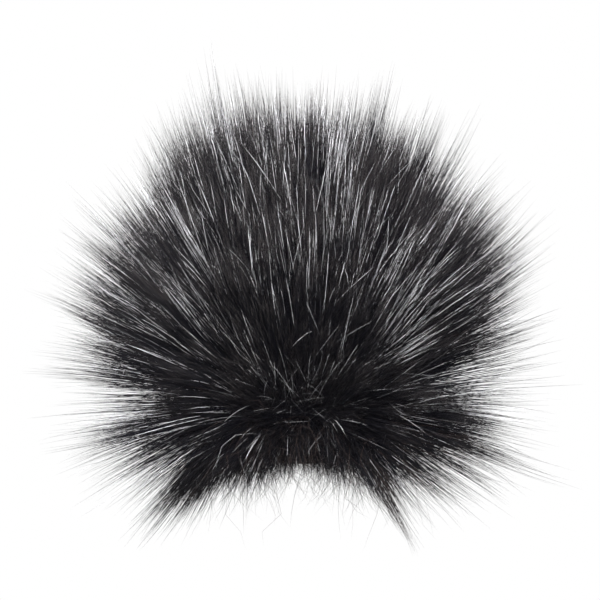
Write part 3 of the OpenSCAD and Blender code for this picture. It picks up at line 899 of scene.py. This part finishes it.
FINISH = {
    "barrel": coated_metal("black_coat_barrel", [(SEAT_R, 0.0), (SEAT_R, 4.5), (SEAT_R - 0.3, REAR_Z)]),
    "grille_cap": coated_metal("black_coat_cap", [(_cap_hi[0] - 0.1, _cap_hi[2] - 0.12), (_cap_hi[0], _cap_lo[2])]),
    "cable_gland": moulded("gland_rubber", (0.016, 0.016, 0.017), (0.026, 0.026, 0.027), (0.62, 0.82)),
    "capsule_sleeve": moulded("sleeve_rubber", (0.040, 0.040, 0.042), (0.060, 0.060, 0.062), (0.58, 0.80)),
    "capsule_can": bare_metal("drawn_aluminium", (0.76, 0.77, 0.79), (0.60, 0.61, 0.64)),
    "capsule_board": circuit_board(),
    "jfet": two_part("transistor", ((0.010, 0.010, 0.011), (0.024, 0.024, 0.026)), TIN,
                     lambda m, x, y, z: m.math("MAXIMUM", m.math("LESS_THAN", z, BOARD_TOP + 0.0999 * MM),
                                               m.math("GREATER_THAN", m.math("ABSOLUTE", y), 0.401 * MM))),
    "board_capacitors": two_part("chip_capacitor", ((0.34, 0.21, 0.10), (0.48, 0.31, 0.16)), TIN,
                                 lambda m, x, y, z: m.math("GREATER_THAN", m.math("ABSOLUTE", x), 0.299 * MM)),
    "solder_terminals": bare_metal("bright_solder", (0.78, 0.79, 0.80), (0.58, 0.58, 0.58), (0.15, 0.35), 6000, 0.00001),
    "capsule_holder": moulded("holder_plastic", (0.70, 0.67, 0.58), (0.80, 0.78, 0.71), (0.38, 0.55), 5000, 0.000006),
    "gate_ring": bare_metal("gate_brass", (0.74, 0.55, 0.22), (0.56, 0.39, 0.14)),
    "backplate": bare_metal("plated_backplate", (0.80, 0.62, 0.28), (0.66, 0.48, 0.20), (0.12, 0.28)),
    "spacer_ring": film_finish("spacer_film", (0.66, 0.58, 0.34), (0.52, 0.44, 0.24), 0.0, (0.18, 0.34)),
    "diaphragm": film_finish("metallised_film", (0.82, 0.83, 0.85), (0.70, 0.71, 0.73), 1.0, (0.08, 0.2)),
    "diaphragm_ring": bare_metal("clamp_brass", (0.72, 0.53, 0.22), (0.52, 0.36, 0.13)),
}


# ------------------------------------------------------------------ foam core
def foam_core():
    lo, hi = mm_box("foam_core")
    cz = CORE_Z
    bore, end = SEAT_R - 0.2, _cap_hi[2] + 0.1
    bot = lo[2]
    r_bot = math.sqrt(CORE_R ** 2 - (cz - bot) ** 2)
    arc = [(CORE_R * math.sin(a), cz + CORE_R * math.cos(a))
           for a in np.linspace(math.acos((bot - cz) / CORE_R), 0, 118)]
    prof = dense([(0, end), (bore, end), (bore, bot), (r_bot, bot)], 0.24) + arc[1:]
    prof[-1] = (0.0, cz + CORE_R)
    n = 260
    v, f = turned(prof, n)
    rng = np.random.default_rng(SEED + 5)
    k = 15000
    pick = rng.integers(0, len(v), k)
    centres = v[pick] + rng.normal(0, 0.12, (k, 3))
    size = rng.uniform(0.14, 0.30, k)
    tree = KDTree(k)
    for i, c in enumerate(centres):
        tree.insert(Vector(c), i)
    tree.balance()
    mid = np.array([0, 0, cz])
    r_all = np.linalg.norm(v - mid, axis=1)
    radial_xy = np.hypot(v[:, 0], v[:, 1])
    outer = r_all > CORE_R - 0.3
    wall = (~outer) & (np.abs(radial_xy - bore) < 0.02) & (v[:, 2] < end - 0.05)
    depth = np.zeros(len(v))
    for i, p in enumerate(v):
        for co, j, d in tree.find_n(Vector(p), 2):
            s = size[j]
            if d < s:
                depth[i] = max(depth[i], 0.55 * s * (1 - (d / s) ** 2))
    push = np.zeros_like(v)
    push[outer] = -(v[outer] - mid) / r_all[outer][:, None] * depth[outer][:, None]
    out_xy = np.stack([v[:, 0], v[:, 1], np.zeros(len(v))], 1) / np.maximum(radial_xy, 1e-6)[:, None]
    push[wall] = out_xy[wall] * depth[wall][:, None] * 0.6
    flat = (~outer) & (~wall) & (v[:, 2] < bot + 0.05) & (radial_xy > bore + 0.2) & (radial_xy < r_bot - 0.2)
    push[flat, 2] = depth[flat] * 0.6
    v = v + push
    mat = fibrous("open_cell_foam", (0.004, 0.004, 0.0045), (0.020, 0.020, 0.0215), 4000, 0.06, 0.00005, pores=True)
    ob = build("foam_core_open_cell", v, f, mat, "wind_muff", ("foam_core",))
    return ob


# ------------------------------------------------------------------ knitted backing
KNIT = cloth("knitted_backing", (0.004, 0.004, 0.0045), (0.015, 0.015, 0.016))


def backing(side):
    """Half of the pouch: a knitted panel with real thickness, its rows of loops raised on both faces."""
    sgn = -1 if side == "front" else 1
    r_out = POUCH_R - 0.06
    r_in = CORE_R + 0.14
    nu, nv = 181, 128
    th = np.linspace(0, math.radians(THETA_MOUTH), nv + 1)[1:]
    ph = np.linspace(0, math.pi, nu)
    T, P = np.meshgrid(th, ph, indexing="ij")
    row = T * 10.0 / 0.62
    wale = P * np.sin(T) * 10.0 / 0.9
    vee = np.abs(np.mod(wale, 1.0) * 2 - 1)
    loop = np.sin(2 * math.pi * (row + 0.32 * vee))
    relief = 0.045 * loop * (0.45 + 0.55 * np.sin(math.pi * vee))
    layers = []
    for r0, amp in ((r_out, 1.0), (r_in, 1.0)):
        r = r0 + relief * amp
        x = r * np.sin(T) * np.cos(P)
        y = sgn * (r * np.sin(T) * np.sin(P) + 0.05)
        z = CORE_Z + r * np.cos(T)
        layers.append(np.stack([x, y, z], -1).reshape(-1, 3))
    m = len(layers[0])
    poles = np.array([[0, sgn * 0.05, CORE_Z + r_out], [0, sgn * 0.05, CORE_Z + r_in]])
    v = np.concatenate(layers + [poles])
    f = grid_faces(nv, nu) + grid_faces(nv, nu, base=m, flip=True)
    po, pi_ = 2 * m, 2 * m + 1
    f += [(po, j, j + 1) for j in range(nu - 1)] + [(pi_, m + j + 1, m + j) for j in range(nu - 1)]
    last = (nv - 1) * nu
    f += [(last + j, m + last + j, m + last + j + 1, last + j + 1) for j in range(nu - 1)]
    for j in (0, nu - 1):
        f += [(i * nu + j, (i + 1) * nu + j, m + (i + 1) * nu + j, m + i * nu + j) for i in range(nv - 1)]
        f.append((po, j, m + j, pi_))
    ob = build(f"{side}_backing_knit", v, f, KNIT, "wind_muff", (f"{side}_backing",))
    return ob


# ------------------------------------------------------------------ gathered mouth hem
def mouth_hem():
    lo, hi = mm_box("mouth_hem")
    r0, r1, z0, z1 = SEAT_R - 0.1, hi[0], lo[2], hi[2]
    t = 0.5
    prof = dense([(r0, z1), (r0, z0 + 0.28), (r0 + 0.28, z0), (r1 - 0.45, z0), (r1, z0 + 0.45), (r1, z1),
                  (r1 - t, z1), (r1 - t, z0 + 0.62), (r1 - t - 0.12, z0 + 0.52), (r0 + t + 0.12, z0 + 0.52),
                  (r0 + t, z0 + 0.62), (r0 + t, z1), (r0, z1)], 0.22)[:-1]
    n = 336
    gathers = 28
    rng = np.random.default_rng(SEED + 8)
    amp = rng.uniform(0.6, 1.3, gathers)
    shift = rng.uniform(-0.25, 0.25, gathers)

    def warp(v, ang):
        g = ang / (2 * math.pi) * gathers
        i = np.floor(g).astype(int) % gathers
        wave = np.cos(2 * math.pi * (g - np.floor(g)) + shift[i]) * amp[i]
        wave = (np.roll(wave, 1) + wave + np.roll(wave, -1)) / 3
        r = np.hypot(v[..., 0], v[..., 1])
        h = np.clip((v[..., 2] - z0) / (z1 - z0), 0, 1)
        out = np.clip((r - r0) / (r1 - r0), 0, 1)
        d = -0.085 * (0.35 + 0.65 * np.sin(math.pi * np.clip(h * 1.1, 0, 1))) * out * (1 + wave[:, None]) / 1.6
        k = (r + d) / r
        v[..., 0] *= k
        v[..., 1] *= k
        v[..., 2] += 0.05 * (1 + wave[:, None]) * (1 - h) ** 3
        return v

    v, f = turned(prof, n, warp)
    ob = build("mouth_hem_gathered", v, f, KNIT, "wind_muff", ("mouth_hem",))
    return ob


# ------------------------------------------------------------------ braided elastic ring
def elastic_ring():
    lo, hi = mm_box("elastic_cord")
    rr = (hi[2] - lo[2]) / 2
    big = hi[0] - rr
    zc = (hi[2] + lo[2]) / 2
    nu, nv = 720, 32
    u = 2 * math.pi * np.arange(nu) / nu
    w = 2 * math.pi * np.arange(nv) / nv
    U, W = np.meshgrid(u, w, indexing="ij")
    a = np.sin(4 * W + 44 * U)
    b = np.sin(4 * W - 44 * U)
    relief = 0.055 * (np.maximum(a, b) - 1)
    r = rr + relief
    x = (big + r * np.cos(W)) * np.cos(U)
    y = (big + r * np.cos(W)) * np.sin(U)
    z = zc + r * np.sin(W)
    v = np.stack([x, y, z], -1).reshape(-1, 3)
    mat = twisted("braided_elastic", (0.010, 0.010, 0.011), (0.030, 0.030, 0.032), 5200)
    return build("elastic_cord_braided", v, grid_faces(nu, nv, True, True), mat, "wind_muff", ("elastic_cord",))


# ------------------------------------------------------------------ overlocked seam
def seam():
    """The thread that joins the panels: it winds over both fabric edges, with a chain along the outside."""
    span = math.radians(THETA_MOUTH - 0.6)
    mid = (CORE_R + 0.14 + POUCH_R) / 2
    half = (POUCH_R - CORE_R - 0.14) / 2 + 0.03
    turns = int(2 * span * mid / 0.46)
    k = turns * 14
    s = np.linspace(-span, span, k)
    w = np.linspace(0, turns * 2 * math.pi, k)
    rad = mid + half * np.cos(w)
    y = 0.27 * np.sin(w)
    path = np.stack([rad * np.sin(s), y, CORE_Z + rad * np.cos(s)], 1)
    v, f = wire(path, 0.055, 6, up=(0, 1, 0.001))
    verts, faces = [v], list(f)
    base = len(v)
    for off, ph in ((-0.24, 0.0), (0.24, math.pi)):
        k2 = turns * 8
        s2 = np.linspace(-span, span, k2)
        w2 = np.linspace(0, turns * 2 * math.pi, k2) + ph
        rad2 = POUCH_R + 0.02 + 0.03 * np.cos(w2)
        path = np.stack([rad2 * np.sin(s2), off + 0.05 * np.sin(w2), CORE_Z + rad2 * np.cos(s2)], 1)
        v, f = wire(path, 0.05, 6, up=(0, 1, 0.001), base=base)
        verts.append(v)
        faces += f
        base += len(v)
    mat = twisted("sewing_thread", (0.008, 0.008, 0.009), (0.024, 0.024, 0.025), 14000)
    return build("seam_overlock_thread", np.concatenate(verts), faces, mat, "wind_muff", ("seam_thread",))


# ------------------------------------------------------------------ woven grille mesh
def grille_cloth():
    lo, hi = mm_box("grille_mesh")
    r_max, zc = hi[0] - 0.03, (lo[2] + hi[2]) / 2
    pitch, rad = 0.21, 0.040
    amp = min(0.048, (hi[2] - lo[2]) / 2 - rad)
    n = int(r_max / pitch)
    verts, faces, base = [], [], 0
    for i in range(-n, n + 1):
        c = i * pitch
        half = math.sqrt(max(r_max ** 2 - c * c, 0))
        if half < 0.4:
            continue
        k = max(6, int(half * 2 / (pitch / 5)))
        s = np.linspace(-half, half, k)
        wave = amp * np.cos(math.pi * s / pitch) * (1 if i % 2 else -1)
        for along in (0, 1):
            z = zc + (wave if along == 0 else -wave)
            path = np.stack([s, np.full(k, c), z], 1) if along == 0 else np.stack([np.full(k, c), s, z], 1)
            v, f = wire(path, rad, 5, base=base)
            verts.append(v)
            faces += f
            base += len(v)
    mat = bare_metal("darkened_wire", (0.17, 0.175, 0.185), (0.09, 0.09, 0.095), (0.25, 0.45), 20000, 0.000004)
    return build("grille_mesh_woven", np.concatenate(verts), faces, mat, "grille_head", ("grille_mesh",))


# ------------------------------------------------------------------ acoustic felt
def felt():
    lo, hi = mm_box("acoustic_felt")
    r, z0, z1 = hi[0] - 0.02, lo[2] + 0.02, hi[2] - 0.02
    rng = np.random.default_rng(SEED + 9)
    prof = dense([(0, z0), (r - 0.08, z0), (r, z0 + 0.07), (r, z1 - 0.07), (r - 0.08, z1), (0, z1)], 0.07)
    waves = [(rng.uniform(2, 14), rng.uniform(0, 6.28), rng.uniform(-3, 3), rng.uniform(-3, 3)) for _ in range(14)]

    def warp(v, ang):
        h = np.zeros(v.shape[:2])
        for kf, ph, dx, dy in waves:
            h += np.sin(kf * (dx * v[..., 0] + dy * v[..., 1]) * 0.6 + ph)
        v[..., 2] += 0.012 * h / 3.0
        return v

    v, f = turned(prof, 150, warp)
    verts, faces, base = [v], list(f), len(v)
    for i in range(620):
        a, q = rng.uniform(0, 2 * math.pi), (r - 0.25) * math.sqrt(rng.random())
        d = rng.uniform(0, 2 * math.pi)
        length = rng.uniform(0.35, 0.9)
        t = np.linspace(0, 1, 7)
        x = q * math.cos(a) + length * (t - 0.5) * math.cos(d) + rng.normal(0, 0.05) * np.sin(t * 5)
        y = q * math.sin(a) + length * (t - 0.5) * math.sin(d) + rng.normal(0, 0.05) * np.sin(t * 4 + 1)
        rr = np.hypot(x, y)
        if rr.max() > r - 0.03:
            continue
        z = z1 - 0.01 + rng.uniform(0.0, 0.06) * np.sin(math.pi * t) + 0.012 * np.sin(t * 9)
        pv, pf = wire(np.stack([x, y, z], 1), np.array([0.004, 0.010, 0.011, 0.011, 0.011, 0.010, 0.004]), 4, base=base)
        verts.append(pv)
        faces += pf
        base += len(pv)
    mat = fibrous("pressed_felt", (0.016, 0.016, 0.017), (0.050, 0.050, 0.052), 7000, 0.4, 0.00003)
    ob = build("acoustic_felt_disc", np.concatenate(verts), faces, mat, "microphone", ("acoustic_felt",))
    return ob


foam_core()
elastic_ring()
mouth_hem()
for _side in ("front", "rear"):
    backing(_side)
seam()
grille_cloth()
felt()

for name, ob in nodes.items():
    if name in FINISH:
        ob.data.materials.clear()
        ob.data.materials.append(FINISH[name])


# ------------------------------------------------------------------ studio
def plane(name, size_x, size_y, loc, rot, mat):
    me = bpy.data.meshes.new(name)
    x, y = size_x / 2, size_y / 2
    me.from_pydata([(-x, -y, 0), (x, -y, 0), (x, y, 0), (-x, y, 0)], [], [(0, 1, 2, 3)])
    ob = bpy.data.objects.new(name, me)
    ob.location = loc
    ob.rotation_euler = rot
    ob.data.materials.append(mat)
    scene.collection.objects.link(ob)
    return ob


def lit_white(name):
    m = Mat(name)
    m.set(Base_Color=(0, 0, 0, 1), Roughness=1.0, Specular_IOR_Level=0.0, Emission_Color=(1, 1, 1, 1),
          Emission_Strength=1.0)
    return m.m


def only_seen(ob):
    """The camera sees this white, and it lights nothing: the lights below do that."""
    ob.visible_diffuse = ob.visible_glossy = ob.visible_transmission = ob.visible_shadow = False
    return ob


def dome(radius, z, mat):
    """A white sweep all round the object, seen from inside."""
    vs, fs, n, k = [], [], 64, 12
    for i in range(k + 1):
        a = math.pi / 2 * i / k
        for j in range(n):
            b = 2 * math.pi * j / n
            vs.append((radius * math.cos(a) * math.cos(b), radius * math.cos(a) * math.sin(b), z + radius * math.sin(a)))
    for i in range(k):
        for j in range(n):
            fs.append((i * n + j, (i + 1) * n + j, (i + 1) * n + (j + 1) % n, i * n + (j + 1) % n))
    me = bpy.data.meshes.new("sweep")
    me.from_pydata(vs, [], fs)
    ob = bpy.data.objects.new("sweep", me)
    ob.data.materials.append(mat)
    scene.collection.objects.link(ob)
    return ob


lo_v, hi_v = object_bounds()
FLOOR_Z = lo_v[2] - 0.0004
only_seen(plane("floor", 8, 8, (0, 0, FLOOR_Z), (0, 0, 0), lit_white("floor_white")))
only_seen(dome(4.0, FLOOR_Z - 0.001, lit_white("sweep_white")))

world = bpy.data.worlds.new("studio")
scene.world = world
world.use_nodes = True
world.node_tree.nodes["Background"].inputs[0].default_value = (1, 1, 1, 1)
world.node_tree.nodes["Background"].inputs[1].default_value = 0.16


def area(name, loc, target, size, power, color=(1, 1, 1)):
    la = bpy.data.lights.new(name, "AREA")
    la.shape = "RECTANGLE"
    la.size, la.size_y = size
    la.energy = power
    la.color = color
    ob = bpy.data.objects.new(name, la)
    ob.location = loc
    ob.rotation_euler = (Vector(target) - Vector(loc)).to_track_quat("-Z", "Y").to_euler()
    ob.visible_camera = False
    scene.collection.objects.link(ob)


MIDDLE = (0, 0, 0.022)
area("key", (-0.30, -0.42, 0.46), MIDDLE, (0.20, 0.20), 11.5)
area("top", (0.04, 0.02, 0.62), MIDDLE, (0.28, 0.22), 12.0)
area("right", (0.50, -0.22, 0.32), MIDDLE, (0.18, 0.25), 5.0)
area("front", (0.10, -0.66, 0.10), MIDDLE, (0.25, 0.25), 6.5)
area("rear", (0.1, 0.62, 0.12), MIDDLE, (0.8, 0.5), 5.5)
area("under", (0.0, -0.12, -0.45), MIDDLE, (0.6, 0.4), 1.0)

# ------------------------------------------------------------------ camera: straight on, a long way off
PX_PER_MM = 7.5
DIST = 0.70
cam_data = bpy.data.cameras.new("camera")
cam = bpy.data.objects.new("camera", cam_data)
scene.collection.objects.link(cam)
scene.camera = cam
cam_data.sensor_width = 36
cam_data.lens = 36 * DIST / (600 / PX_PER_MM * MM)
EL = math.radians(2.0)
AIM = Vector((0, 0, (460 - 300) / PX_PER_MM * MM))
cam.location = AIM + Vector((0, -math.cos(EL), math.sin(EL))) * DIST
cam.rotation_euler = (math.radians(90) - EL, 0, 0)
cam_data.clip_start, cam_data.clip_end = 0.01, 20
scene.view_settings.view_transform = "Standard"
